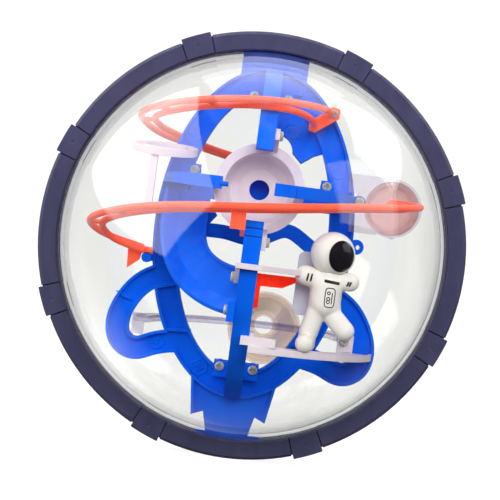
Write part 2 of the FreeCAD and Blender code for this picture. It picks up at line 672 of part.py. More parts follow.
def orange_rail_lower():
    """Twin-wire rail from the cup round the front to the loop's left boss."""
    wires = [offset_line(LOWER_RAIL, side * RAIL_HALF_GAP, side * RAIL_BANK) for side in (-1, 1)]
    solids = [rod(wire, WIRE_R) for wire in wires]
    curves = [smooth_line(wire) for wire in wires]
    solids += ladder_ties(*curves, [0.02, 0.12, 0.25, 0.5, 0.62, 0.75, 0.86, 0.985])
    solids.append(box(-9.5, -3.7, 62.6, 65.2, 5.5, 13.6))
    solids.append(side_slab(poly([(55.5, 3), (65.2, 5.5), (65.2, 9.5), (55.5, 9)]), -5.3, -HALF))
    left = [(-47.5, 5.2), (-41.2, 5.2), (-41.2, 9.4), (-47.5, 9.4)]
    solids.append(slab(poly([(x, -f) for x, f in left]), -8.4, -6.1))
    plate = [(-51.5, -7), (-41.0, -7), (-41.0, -9), (-45.6, -9), (-46.2, -12), (-51, -16)]
    solids.append(front_slab(poly(plate), HALF, HALF + 2.2).cut(front_slab(disc(*PEG, PEG_R), 0, 20)))
    return join(solids)


UPPER_OUTER = [(26.2, -9, 59.0), (22, -23, 59.2), (11.3, -41, 58.6), (0, -51.2, 57.5), (-12, -50.5, 56.6)]
UPPER_OUTER += [(-26, -43, 55.2), (-38.1, -33, 53.4), (-48.8, -17, 50.9), (-53.6, 0, 48.5), (-50.9, 13, 45.8)]
UPPER_OUTER += [(-43.6, 26, 43), (-31.5, 36.5, 41), (-18, 43, 38.6), (-4.4, 47.5, 37)]
UPPER_INNER = [(19.6, -8, 53.0), (17.6, -22, 54.2), (12.4, -37, 55.2), (5, -46, 55.4), (-5, -47.2, 55.2)]
UPPER_INNER += [(-14.5, -43.6, 54.5)]
UPPER_INNER += [(-23.6, -38, 53.4), (-34.5, -28, 51.7), (-44.1, -14, 49.6), (-47.6, 0, 48), (-45.6, 10, 46.1)]
UPPER_INNER += [(-39.1, 21, 43.9), (-29.2, 30.5, 41.6), (-16.8, 37.5, 39.2), (-4.4, 42, 38)]


def orange_rail_upper():
    """Twin-wire rail from the landing round the front and left to the rear arch."""
    solids = [rod(wire, WIRE_R) for wire in (UPPER_OUTER, UPPER_INNER)]
    curves = [smooth_line(wire) for wire in (UPPER_OUTER, UPPER_INNER)]
    solids += ladder_ties(*curves, [0.38, 0.52, 0.66, 0.8, 0.9])
    foot = [(17.2, 51.2), (20, 50.4), (29.4, 57.4), (29.2, 61), (26.2, 61.8), (23.6, 59.6), (17.2, 54.6)]
    solids.append(front_slab(poly(foot), HALF, 9))
    solids.append(box(-5.2, -HALF, -49.5, -39.5, 35.4, 39.8))
    return join(solids)


def red_bracket():
    """Angled bracket from the lower arch to the spaceman's back."""
    leg = [(49, -11), (57, -11), (57, -20), (54.5, -24), (50.5, -24), (49, -20)]
    leg = side_slab(poly(leg), HALF, HALF + 1.8)
    arm = [(HALF, 57), (HALF, 50), (8, 47.5), (19.3, 36.8), (19.3, 40.6), (11, 51), (HALF + 1.8, 57)]
    shelf = slab(poly([(x, -f) for x, f in arm]), -15.2, -10.4)
    waist = front_slab(poly([(9.5, -15.2), (14, -15.2), (19.3, -12.6), (19.3, -16)]), 30, 60)
    return join([leg, shelf.cut(waist)])


# Spaceman

FIGURE_FORWARD = 46.0
HELMET = (32.2, -FIGURE_FORWARD, 0.75)
HELMET_R = 8.8
VISOR_T = 1.8


def visor_plug(radius, half_w, half_h):
    """Part of a ball about the helmet's centre that lies behind the visor's oval."""
    lens = front_slab(oval(34.6, 0.3, half_w, half_h), FIGURE_FORWARD, FIGURE_FORWARD + 14)
    lens.rotate(V(*HELMET), V(0, 0, 1), 6)
    return Part.makeSphere(radius, V(*HELMET)).common(lens)


def figure_visor():
    """Dark bulging visor."""
    plug = visor_plug(HELMET_R + 0.7, 5.2, 6.2)
    return plug.cut(Part.makeSphere(HELMET_R - VISOR_T, V(*HELMET)))


def figure_helmet():
    """Round helmet with a low raised lip round the visor."""
    lip = visor_plug(HELMET_R + 0.35, 6.0, 7.0)
    body = join([Part.makeSphere(HELMET_R, V(*HELMET)), lip])
    socket = visor_plug(HELMET_R + 0.7, 5.2, 6.2).cut(Part.makeSphere(HELMET_R - VISOR_T, V(*HELMET)))
    return body.cut(socket).cut(figure_backpack())


def figure_backpack():
    """Rounded pack on the spaceman's back."""
    body = box(19.3, 36, 34.6, 40.4, -25, 0.4)
    upright = [e for e in body.Edges if abs(e.Vertexes[0].Y - e.Vertexes[-1].Y) > 1]
    body = body.makeFillet(2.6, upright)
    rims = [e for e in body.Edges if max(abs(v.Y + 34.6) for v in e.Vertexes) < 0.01]
    return body.makeFillet(0.8, rims)


def figure_body():
    """Torso, arms and legs in one moulding. It stands on the walkway."""
    y = -FIGURE_FORWARD
    limbs = [capsule((31.4, y, -12.6), (31.4, y, -18.6), 6.4)]
    limbs.append(capsule((29.6, y, -20.5), (33.6, y, -20.5), 4.6))
    limbs.append(capsule((27, y, -9.6), (36.4, y, -9.6), 4.1))
    limbs.append(capsule((26, y, -9.6), (22.3, y - 1.5, -8.9), 4.0))
    limbs.append(capsule((37, y, -9.6), (40.3, y - 1.5, -9.4), 3.7))
    limbs.append(capsule((28.4, y, -23), (26.6, y + 1, -31), 3.9))
    limbs.append(capsule((26.6, y + 1, -31), (26, y + 1, -35.2), 3.6))
    limbs.append(capsule((26.2, y + 2, -35.6), (25.4, y - 3.4, -35.6), 3.7))
    limbs.append(capsule((34.2, y, -22.6), (40.6, y - 2, -28.8), 3.9))
    limbs.append(Part.makeCylinder(5.0, 6, V(32, y, -9.5)))
    body = join(limbs)
    body = body.cut(box(0, 60, 20, 70, -60, WALK_TOP))
    body = body.cut(Part.makeSphere(HELMET_R, V(*HELMET)))
    return body.cut(figure_backpack())


# Screws: place of the seat under the head, the way the head faces, and the length of the shank

FRONT = (0, -1, 0)
SCREWS = [((26.6, -9, 59.0), FRONT, 9.0)]
SCREWS += [((x, -HALF - FOOT_T, 28.5), FRONT, 5.5) for x in (-28, 28)]
SCREWS += [((x, -HALF - FOOT_T, z), FRONT, 2 * (HALF + FOOT_T)) for x in (-7, 7) for z in (62.5, -52)]
SCREWS += [((43.5, -HALF - 2.4, -35), FRONT, 6.0), ((42.4, -HALF - 2, 24), FRONT, 6.0)]
SCREWS += [((-5.3, -54.2, -13), (-1, 0, 0), 3.4), ((-6.4, -54.0, -26.2), (-1, 0, 0), 5.0)]
SCREWS += [((HALF + 1.8, 16.5 - ARCH_REACH, 44.3), (1, 0, 0), 3.6)]
SCREWS += [((HALF + 1.8, 6 - ARCH_REACH, 1.8), (1, 0, 0), 3.6)]


def screw(place, way, length, gap=0.0):
    """Pan-head screw with a cross recess. A gap makes it the space that it needs."""
    seat = V(*place)
    out = V(*way)
    head = Part.makeCylinder(SCREW_HEAD_R + gap, SCREW_HEAD_H + 20 * gap, seat, out)
    shank = Part.makeCylinder(SCREW_SHANK_R + gap, length + gap, seat, out * -1)
    if gap:
        return join([head, shank])
    crown = [e for e in head.Edges if e.BoundBox.Center.distanceToPoint(seat + out * SCREW_HEAD_H) < 0.01]
    head = head.makeFillet(0.7, crown)
    side = V(0, 0, 1)
    other = out.cross(side)
    for along, across in ((side, other), (other, side)):
        corner = seat + out * (SCREW_HEAD_H - 0.8) - along * 1.3 - across * 0.25
        long_side = along * 2.6
        short_side = across * 0.5
        slot = [corner, corner + long_side, corner + long_side + short_side, corner + short_side, corner]
        head = head.cut(Part.Face(Part.makePolygon(slot)).extrude(out * 2))
    return join([head, shank])


# All the pieces

shell = {"dome_front": dome(-1), "dome_rear": dome(1), "rim_front": rim_half(-1), "rim_rear": rim_half(1)}
for i in range(CLIP_COUNT):
    shell["rim_clip_%d" % (i + 1)] = rim_clip(i)

maze = {}
for build in (
    main_plate, spine_upper_front, spine_lower_front, spine_rear, cross_bar_left, cross_bar_right,
    gallery, steel_ball, wavy_track_rear, chute, bowl, drop_elbow, white_ring, catch_tray, catch_cup, walkway,
    walkway_step, clear_rail_rear, rear_funnel, arm_bar, orange_rail_lower, orange_rail_upper,
    red_bracket, figure_visor, figure_helmet, figure_backpack, figure_body,
):
    maze[build.__name__] = build()

HOLLOWED = [("figure_body", "arm_bar"), ("figure_body", "figure_helmet"), ("figure_backpack", "red_bracket")]
for name, other in HOLLOWED:
    maze[name] = maze[name].cut(maze[other])
for name in maze:
    for place, way, length in SCREWS:
        space = screw(place, way, length, CLEAR)
        if maze[name].common(space).Volume > 0:
            maze[name] = maze[name].cut(space)
for i, (place, way, length) in enumerate(SCREWS):
    maze["screw_%d" % (i + 1)] = screw(place, way, length)

for name, shape in maze.items():
    if MAZE_SCALE != 1:
        shape.scale(MAZE_SCALE, ORIGIN)
for name, shape in {**shell, **maze}.items():
    if len(shape.Solids) == 1:
        shape = shape.Solids[0]
    shape.exportStep("parts/%s.step" % name)
    print(name, len(shape.Solids), shape.isValid(), round(shape.Volume))
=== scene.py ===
# %% [markdown]
# # A clear ball maze in a dark ring
# The toy is a hollow clear ball held in a slate-coloured ring. Inside it, blue tracks, orange wire rails, a pale bowl
# and a small spaceman make one long path for a steel ball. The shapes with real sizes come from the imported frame. This
# lesson gives every one of them its finish, and makes the pieces that need soft or very smooth surfaces.

# %% Load the fixed frame
import math

import bmesh
import bpy
import numpy as np
from mathutils import Matrix, Vector


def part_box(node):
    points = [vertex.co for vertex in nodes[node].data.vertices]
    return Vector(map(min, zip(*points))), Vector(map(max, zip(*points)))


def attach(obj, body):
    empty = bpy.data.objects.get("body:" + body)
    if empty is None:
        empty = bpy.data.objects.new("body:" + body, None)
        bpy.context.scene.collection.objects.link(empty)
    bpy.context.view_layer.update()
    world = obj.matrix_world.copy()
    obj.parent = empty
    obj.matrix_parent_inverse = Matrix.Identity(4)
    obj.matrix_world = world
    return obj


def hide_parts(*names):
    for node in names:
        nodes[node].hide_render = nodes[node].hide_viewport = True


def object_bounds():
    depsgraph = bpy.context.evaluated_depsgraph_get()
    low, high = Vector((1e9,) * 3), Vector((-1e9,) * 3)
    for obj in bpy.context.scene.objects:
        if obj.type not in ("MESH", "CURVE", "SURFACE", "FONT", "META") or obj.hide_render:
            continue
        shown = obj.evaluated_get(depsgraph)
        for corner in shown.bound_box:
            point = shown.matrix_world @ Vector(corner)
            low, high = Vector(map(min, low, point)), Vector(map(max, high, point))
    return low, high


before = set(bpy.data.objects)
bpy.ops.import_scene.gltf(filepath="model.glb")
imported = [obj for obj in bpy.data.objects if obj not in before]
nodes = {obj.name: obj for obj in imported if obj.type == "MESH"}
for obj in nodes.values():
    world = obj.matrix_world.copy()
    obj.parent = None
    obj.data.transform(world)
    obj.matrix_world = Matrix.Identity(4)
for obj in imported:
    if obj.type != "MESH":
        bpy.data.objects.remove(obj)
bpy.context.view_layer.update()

# %% [markdown]
# ## Sizes that the frame already knows
# The ball's radius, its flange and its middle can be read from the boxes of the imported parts, so nothing is measured
# twice. All lengths in this lesson are in metres, and MM turns a workshop size into metres.

# %% Read the sizes
MM = 0.001
dome_low, dome_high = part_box("dome_front")
BALL_R = -dome_low.y
FLANGE_R = dome_high.x
WALL = 2.0 * MM
FLANGE_T = 2.6 * MM
FLOOR_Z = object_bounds()[0].z
print("ball radius %.4f, flange radius %.4f, floor at %.4f" % (BALL_R, FLANGE_R, FLOOR_Z))

# %% [markdown]
# ## The camera
# A toy like this is looked at straight from the front, at the height of its middle, and tipped a little clockwise.
# Turning the camera about its own axis tips the picture and leaves the toy standing as it was made.

# %% Place the camera
CAMERA_BACK = 0.7
SENSOR_W = 36
VIEW_W = 0.21175  # width that the view takes in at the toy's middle
ROLL = math.radians(7.5)
camera_data = bpy.data.cameras.new("camera")
camera_data.sensor_width = SENSOR_W
camera_data.lens = SENSOR_W * CAMERA_BACK / VIEW_W
camera_data.shift_x = -0.004
camera_data.shift_y = -0.009
camera = bpy.data.objects.new("camera", camera_data)
camera.location = (0, -CAMERA_BACK, 0)
camera.rotation_mode = "QUATERNION"
facing = Vector((0, CAMERA_BACK, 0)).to_track_quat("-Z", "Y")
camera.rotation_quaternion = facing @ Matrix.Rotation(ROLL, 3, "Z").to_quaternion()
bpy.context.scene.collection.objects.link(camera)
bpy.context.scene.camera = camera
bpy.context.scene.view_settings.view_transform = "Standard"
print("lens %.0f mm at %.2f m" % (camera_data.lens, CAMERA_BACK))

# %% [markdown]
# ## Grids of points
# Every new surface is a grid: a function of two parameters gives all the points at once as a numpy array, and one
# helper turns any grid into a mesh of quads. Rows that close on themselves wrap round, and rows that shrink to one
# point are merged into a pole.

# %% Put a grid into a mesh


def grid_faces(rows, columns, wrap_rows, wrap_columns):
    """Quads of a grid: corner (i, j) with (i, j+1), (i+1, j+1) and (i+1, j), wrapping where asked."""
    i = np.arange(rows if wrap_rows else rows - 1)[:, None]
    j = np.arange(columns if wrap_columns else columns - 1)[None, :]
    right = (j + 1) % columns
    below = (i + 1) % rows
    corners = [i * columns + j, i * columns + right, below * columns + right, below * columns + j]
    return np.stack([np.broadcast_to(c, (len(i), j.shape[1])) for c in corners], axis=-1).reshape(-1, 4)


def finish_mesh(mesh, sharp=35):
    """Merges doubled points, points the faces outwards and shades smooth up to an angle in degrees."""
    work = bmesh.new()
    work.from_mesh(mesh)
    bmesh.ops.remove_doubles(work, verts=work.verts, dist=1e-7)
    bmesh.ops.dissolve_degenerate(work, edges=work.edges, dist=1e-8)
    bmesh.ops.recalc_face_normals(work, faces=work.faces)
    work.to_mesh(mesh)
    work.free()
    mesh.polygons.foreach_set("use_smooth", np.ones(len(mesh.polygons), dtype=bool))
    mesh.set_sharp_from_angle(angle=math.radians(sharp))
    mesh.update()


def new_piece(name, mesh, material=None):
    """Object at the origin that holds the mesh and its material."""
    piece = bpy.data.objects.new(name, mesh)
    bpy.context.scene.collection.objects.link(piece)
    if material is not None:
        mesh.materials.clear()
        mesh.materials.append(material)
    return piece


def grid_mesh(name, points, wrap_rows=False, wrap_columns=False, sharp=35):
    """Mesh of quads over a grid of points, rows x columns x 3."""
    rows, columns = points.shape[:2]
    mesh = bpy.data.meshes.new(name)
    faces = grid_faces(rows, columns, wrap_rows, wrap_columns)
    mesh.from_pydata(points.reshape(-1, 3).tolist(), [], faces.tolist())
    finish_mesh(mesh, sharp)
    return mesh


print("a 3 x 4 grid has", len(grid_faces(3, 4, False, False)), "faces")

# %% [markdown]
# ## The stage
# A pale sheet that runs along the floor and curves up behind is the plainest studio there is. It glows a little, so
# the toy's own shadow stays faint.

# %% Make the sheet and its paint
SWEEP_BACK = 1.7
SWEEP_CURVE = 0.7
SWEEP_HALF_W = 2.6
SWEEP_FRONT = -2.6
SWEEP_TOP = 2.4


def sweep_points(steps=24):
    """Floor from the front to the foot of a quarter circle, then up it and on: a profile carried sideways."""
    turn = np.linspace(0, np.pi / 2, steps)
    curve_y = SWEEP_BACK - SWEEP_CURVE + SWEEP_CURVE * np.sin(turn)
    curve_z = SWEEP_CURVE - SWEEP_CURVE * np.cos(turn)
    y = np.concatenate([[SWEEP_FRONT], curve_y, [SWEEP_BACK]])
    z = np.concatenate([[0.0], curve_z, [SWEEP_TOP]]) + FLOOR_Z
    x = np.linspace(-SWEEP_HALF_W, SWEEP_HALF_W, 9)
    return np.stack(np.broadcast_arrays(x[None, :], y[:, None], z[:, None]), axis=-1)


def srgb(red, green, blue):
    """Screen colour from 0 to 255 as linear light: ((c / 255 + 0.055) / 1.055) to the power 2.4, and alpha 1."""
    screen = np.array([red, green, blue]) / 255
    linear = np.where(screen <= 0.04045, screen / 12.92, ((screen + 0.055) / 1.055) ** 2.4)
    return (*linear.tolist(), 1.0)


def node(tree, kind, inputs=None, **settings):
    """Adds a node, with its settings, and its inputs as numbers or as the sockets that feed them."""
    made = tree.nodes.new(kind)
    for setting, value in settings.items():
        setattr(made, setting, value)
    for socket, value in (inputs or {}).items():
        if isinstance(value, bpy.types.NodeSocket):
            tree.links.new(value, made.inputs[socket])
        else:
            made.inputs[socket].default_value = value
    return made


def new_material(name):
    """Empty material and its node tree."""
    material = bpy.data.materials.new(name)
    material.use_nodes = True
    material.node_tree.nodes.clear()
    return material, material.node_tree


def surface(tree, shader):
    """Joins a shader's socket to the material's output."""
    node(tree, "ShaderNodeOutputMaterial", {"Surface": shader})


def math_node(tree, operation, first, second=0.0, clamp=False):
    """Output of a Math node."""
    made = node(tree, "ShaderNodeMath", {0: first, 1: second}, operation=operation, use_clamp=clamp)
    return made.outputs[0]


def mix_colour(tree, factor, first, second):
    """Colour between first and second, by a factor from 0 to 1."""
    made = node(tree, "ShaderNodeMix", {0: factor, 6: first, 7: second}, data_type="RGBA")
    return made.outputs[2]


def remap(tree, value, low, high, to_low, to_high):
    """Value moved from the range low..high to the range to_low..to_high, and kept within it."""
    ranges = {"Value": value, "From Min": low, "From Max": high, "To Min": to_low, "To Max": to_high}
    return node(tree, "ShaderNodeMapRange", ranges).outputs[0]


def paper():
    """Pale matt paper that glows a little."""
    material, tree = new_material("pale paper")
    place = node(tree, "ShaderNodeTexCoord").outputs["Object"]
    fibre = node(tree, "ShaderNodeTexNoise", {"Vector": place, "Scale": 40.0, "Detail": 3.0}).outputs[0]
    colour = mix_colour(tree, fibre, srgb(126, 126, 125), srgb(134, 134, 134))
    matt = node(tree, "ShaderNodeBsdfPrincipled", {"Base Color": colour, "Roughness": 0.9})
    matt.inputs["Specular IOR Level"].default_value = 0.1
    matt.inputs["Emission Color"].default_value = (1, 1, 1, 1)
    matt.inputs["Emission Strength"].default_value = 0.9
    surface(tree, matt.outputs[0])
    return material


stage = new_piece("stage", grid_mesh("stage", sweep_points()), paper())
stage.visible_glossy = False
stage.visible_diffuse = False
print("stage of", len(stage.data.polygons), "faces")

# %% [markdown]
# ## Light
# A big soft box at the left and a window at the right give the broad pale shapes on the ball, with a dim sheet below
# the window, and a wide panel overhead gives the haze at the ball's top. The front is lit by a panel that doesn't show in reflections, as a photographer hides it with a tent. The
# room itself is pale behind the toy and dark in front, so clear plastic stays clear in its middle and turns pale
# towards its edge.

# %% Hang the lights


def panel(name, place, size, radiance, lean=0.0, seen_in_gloss=True):
    """Soft light of width and height in metres, aimed at the toy's middle. Power = radiance x pi x area."""
    data = bpy.data.lights.new(name, "AREA")
    data.shape = "RECTANGLE"
    data.size, data.size_y = size
    data.energy = radiance * math.pi * size[0] * size[1]
    lamp = bpy.data.objects.new(name, data)
    lamp.location = place
    lamp.rotation_mode = "QUATERNION"
    aim = (-Vector(place)).to_track_quat("-Z", "Y")
    lamp.rotation_quaternion = aim @ Matrix.Rotation(math.radians(lean), 3, "Z").to_quaternion()
    lamp.visible_camera = False
    lamp.visible_glossy = seen_in_gloss
    bpy.context.scene.collection.objects.link(lamp)
    return lamp


panel("left soft box", (-0.93, -0.22, 0.52), (2.1, 1.15), 2.3, lean=-24)
panel("right window", (0.777, 0.342, 0.835), (0.74, 0.536), 3.0, lean=12)
panel("right side sheet", (0.85, -0.25, 0.52), (0.75, 0.6), 1.5, lean=-12)
panel("overhead", (0.0, 0.34, 1.1), (0.9, 0.7), 1.0)
panel("front fill", (0.15, -1.05, 0.50), (0.9, 0.7), 7.0, seen_in_gloss=False)

# %% Paint the room


def room():
    """White to the eye; in reflections pale behind the toy, dimmer at its lower right, and black in front."""
    world = bpy.data.worlds.new("room")
    world.use_nodes = True
    tree = world.node_tree
    tree.nodes.clear()
    way = node(tree, "ShaderNodeTexCoord").outputs["Generated"]
    parts = node(tree, "ShaderNodeSeparateXYZ", {0: way}).outputs
    low_right = math_node(tree, "SUBTRACT", parts["X"], parts["Z"])
    bright = remap(tree, low_right, 0.0, 0.7, 0.95, 0.15)
    mirrored = math_node(tree, "MULTIPLY", bright, remap(tree, parts["Y"], 0.0, 0.55, 0.0, 1.0))
    kind = node(tree, "ShaderNodeLightPath")
    seen = kind.outputs["Is Camera Ray"]
    glossy = kind.outputs["Is Glossy Ray"]
    soft = node(tree, "ShaderNodeMix", {0: glossy, 2: 0.25, 3: mirrored}).outputs[0]
    strength = node(tree, "ShaderNodeMix", {0: seen, 2: soft, 3: 1.0}).outputs[0]
    glow = node(tree, "ShaderNodeBackground", {"Color": (1, 1, 1, 1), "Strength": strength})
    node(tree, "ShaderNodeOutputWorld", {"Surface": glow.outputs[0]})
    return world


bpy.context.scene.world = room()
bpy.context.scene.cycles.transparent_max_bounces = 24

# %% [markdown]
# ## Effects that several finishes share
# Moulded plastic is never quite even: the die leaves a fine grain, and the melt leaves faint cloudy flow marks. Its
# edges are a little rounded and get a painted highlight, and dust settles on what faces up. Each effect is a node group
# that puts out only masks, heights or normals, so any finish can use it in its own measure.

# %% Start a node group


def new_group(name, inputs, outputs):
    """Node group with float or vector inputs {name: default} and outputs {name: socket type}."""
    group = bpy.data.node_groups.new(name, "ShaderNodeTree")
    for label, default in inputs.items():
        kind = "NodeSocketVector" if default is None else "NodeSocketFloat"
        socket = group.interface.new_socket(label, in_out="INPUT", socket_type=kind)
        if default is not None:
            socket.default_value = default
    for label, kind in outputs.items():
        group.interface.new_socket(label, in_out="OUTPUT", socket_type=kind)
    entry = group.nodes.new("NodeGroupInput")
    leave = group.nodes.new("NodeGroupOutput")
    return group, entry.outputs, leave.inputs


def place_group(tree, group, inputs):
    """Puts a group in a material, and returns its outputs."""
    return node(tree, "ShaderNodeGroup", inputs, node_tree=group).outputs


# %% Moulded skin: grain and flow marks


def moulded_skin():
    """Grain is a fine noise; Flow is a stretched, slow noise of about 12 mm; both run from 0 to 1."""
    inputs = {"Vector": None, "Grain size mm": 0.35, "Flow size mm": 12.0}
    outputs = {"Grain": "NodeSocketFloat", "Flow": "NodeSocketFloat"}
    group, given, out = new_group("moulded skin", inputs, outputs)
    fine = math_node(group, "DIVIDE", 1000.0, given["Grain size mm"])
    slow = math_node(group, "DIVIDE", 1000.0, given["Flow size mm"])
    noise = {"Vector": given["Vector"], "Scale": fine, "Detail": 2.0, "Roughness": 0.6}
    group.links.new(node(group, "ShaderNodeTexNoise", noise).outputs[0], out["Grain"])
    stretched = node(group, "ShaderNodeMapping", {"Vector": given["Vector"], "Scale": (1.0, 1.0, 0.45)})
    flow = {"Vector": stretched.outputs[0], "Scale": slow, "Detail": 3.0, "Distortion": 1.2}
    cloud = node(group, "ShaderNodeTexNoise", flow).outputs[0]
    group.links.new(remap(group, cloud, 0.3, 0.7, 0.0, 1.0), out["Flow"])
    return group


SKIN = moulded_skin()

# %% Soft edges: rounded normals and an edge mask for painted highlights


def soft_edges():
    """Normal rounds corners over a radius; Edge is 1 where the rounded and the true normal differ most."""
    group, given, out = new_group(
        "soft edges", {"Radius mm": 0.4}, {"Normal": "NodeSocketVector", "Edge": "NodeSocketFloat"}
    )
    radius = math_node(group, "MULTIPLY", given["Radius mm"], MM)
    rounded = node(group, "ShaderNodeBevel", {"Radius": radius}, samples=6).outputs[0]
    true_normal = node(group, "ShaderNodeNewGeometry").outputs["Normal"]
    same = node(group, "ShaderNodeVectorMath", {0: rounded, 1: true_normal}, operation="DOT_PRODUCT")
    group.links.new(rounded, out["Normal"])
    group.links.new(remap(group, same.outputs["Value"], 0.995, 0.8, 0.0, 1.0), out["Edge"])
    return group


EDGES = soft_edges()

# %% Settled dust and fine scratches


def settled_dust():
    """Mask that is strong where a face looks up and a patchy noise is high."""
    inputs = {"Vector": None, "Amount": 0.2}
    group, given, out = new_group("settled dust", inputs, {"Mask": "NodeSocketFloat"})
    normal = node(group, "ShaderNodeNewGeometry").outputs["Normal"]
    up = node(group, "ShaderNodeSeparateXYZ", {0: normal}).outputs["Z"]
    upward = remap(group, up, 0.2, 0.95, 0.0, 1.0)
    patch = node(group, "ShaderNodeTexNoise", {"Vector": given["Vector"], "Scale": 160.0, "Detail": 4.0})
    patchy = remap(group, patch.outputs[0], 0.42, 0.68, 0.15, 1.0)
    mask = math_node(group, "MULTIPLY", upward, patchy)
    group.links.new(math_node(group, "MULTIPLY", mask, given["Amount"], clamp=True), out["Mask"])
    return group


def fine_scratches():
    """Thin lines: a noise drawn out 40 times along one way, cut to its narrow middle band."""
    inputs = {"Vector": None, "Spacing mm": 1.5}
    group, given, out = new_group("fine scratches", inputs, {"Lines": "NodeSocketFloat"})
    turned = {"Vector": given["Vector"], "Rotation": (0.5, 0.9, 0.7), "Scale": (40.0, 1.0, 1.5)}
    drawn = node(group, "ShaderNodeMapping", turned)
    scale = math_node(group, "DIVIDE", 25.0, given["Spacing mm"])
    noise = node(group, "ShaderNodeTexNoise", {"Vector": drawn.outputs[0], "Scale": scale, "Detail": 2.0})
    off_middle = math_node(group, "ABSOLUTE", math_node(group, "SUBTRACT", noise.outputs[0], 0.5))
    group.links.new(remap(group, off_middle, 0.0, 0.012, 1.0, 0.0), out["Lines"])
    return group


DUST = settled_dust()
SCRATCHES = fine_scratches()
print("groups:", [group.name for group in bpy.data.node_groups])

# %% [markdown]
# ## Moulded plastic
# One recipe makes every solid plastic. The colour drifts between a main and a deeper tone along the flow marks, edges
# are painted lighter as a highlight, a trace of dust greys what faces up, and the grain drives both the bump and small
# changes of roughness. Where asked, an emission paints a glow that stands in for light passing through the plastic.

# %% The recipe for moulded plastic


def moulded_plastic(name, main, deep, edge_highlight, rough=0.38, grain_mm=0.35, grain_depth=0.012, radius=0.4,
                    dust=0.12, gloss=0.4, glow=0.0):
    """Solid plastic: grain, flow marks, painted edge highlights, dust, optional painted glow. Lengths are in mm."""
    material, tree = new_material(name)
    place = node(tree, "ShaderNodeTexCoord").outputs["Object"]
    skin = place_group(tree, SKIN, {"Vector": place, "Grain size mm": grain_mm})
    edges = place_group(tree, EDGES, {"Radius mm": radius})
    dusty = place_group(tree, DUST, {"Vector": place, "Amount": dust})["Mask"]
    colour = mix_colour(tree, skin["Flow"], main, deep)
    # Painted highlight: edges are lightened towards the edge highlight colour, where light would catch them.
    colour = mix_colour(tree, math_node(tree, "MULTIPLY", edges["Edge"], 0.55), colour, edge_highlight)
    colour = mix_colour(tree, dusty, colour, srgb(214, 212, 214))
    matt = remap(tree, skin["Grain"], 0.3, 0.7, rough - 0.06, rough + 0.08)
    matt = math_node(tree, "ADD", matt, math_node(tree, "MULTIPLY", dusty, 0.3), clamp=True)
    height = {"Height": skin["Grain"], "Distance": grain_depth * MM, "Normal": edges["Normal"]}
    bump = node(tree, "ShaderNodeBump", height).outputs[0]
    body = node(tree, "ShaderNodeBsdfPrincipled", {"Base Color": colour, "Roughness": matt, "Normal": bump})
    body.inputs["Specular IOR Level"].default_value = gloss
    body.inputs["IOR"].default_value = 1.49
    # Painted glow: emission in the main colour stands in for light passing through the plastic; the part is no lamp.
    if glow:
        body.inputs["Emission Color"].default_value = main
        body.inputs["Emission Strength"].default_value = glow
    surface(tree, body.outputs[0])
    return material


# %% Mix the solid plastics
# The third colour of each plastic is its painted edge highlight.
SLATE = moulded_plastic(
    "slate ring plastic", srgb(64, 63, 92), srgb(55, 55, 83), srgb(104, 102, 132), rough=0.55, grain_mm=0.3,
    grain_depth=0.02, radius=0.35, dust=0.1, gloss=0.3)
BLUE = moulded_plastic(
    "blue track plastic", srgb(0, 106, 246), srgb(0, 93, 236), srgb(20, 140, 254), rough=0.42, gloss=0.1,
    dust=0.05)
# Orange and red also carry a painted glow.
ORANGE = moulded_plastic(
    "orange rail plastic", srgb(255, 98, 68), srgb(255, 86, 58), srgb(255, 150, 122), rough=0.3, gloss=0.4,
    dust=0.04, glow=0.28)
RED = moulded_plastic(
    "red bracket plastic", srgb(250, 42, 8), srgb(238, 32, 4), srgb(255, 100, 76), rough=0.3, gloss=0.2,
    dust=0.03, glow=0.4)
PALE = moulded_plastic(
    "pale pink-grey plastic", srgb(232, 221, 229), srgb(222, 208, 219), srgb(244, 236, 241), rough=0.33,
    dust=0.06)
SUIT = moulded_plastic(
    "warm white suit plastic", srgb(240, 237, 231), srgb(232, 230, 226), srgb(250, 248, 244), rough=0.4,
    grain_mm=0.5, grain_depth=0.03, dust=0.04)
PACK = moulded_plastic(
    "lilac-grey pack plastic", srgb(204, 207, 222), srgb(190, 196, 216), srgb(226, 228, 238), rough=0.4,
    dust=0.04)
INK = moulded_plastic(
    "black print", srgb(34, 32, 38), srgb(26, 25, 31), srgb(60, 58, 64), rough=0.45, radius=0.1, dust=0.0)
print("solid plastics:", [m.name for m in (SLATE, BLUE, ORANGE, RED, PALE, SUIT, PACK, INK)])

# %% [markdown]
# ## Clear plastic
# A clear moulding shows what is behind it, tinted a little more where it is seen edge-on, and mirrors the soft boxes
# by the Fresnel law. Tracing real refraction through thin walls would cost a lot and change little, so each wall lets
# light straight through and adds its gloss. As nothing bends, the law is turned over on the way out, or the far side
# of each wall would mirror everything. Smears make the gloss uneven.

# %% The recipe for clear plastic


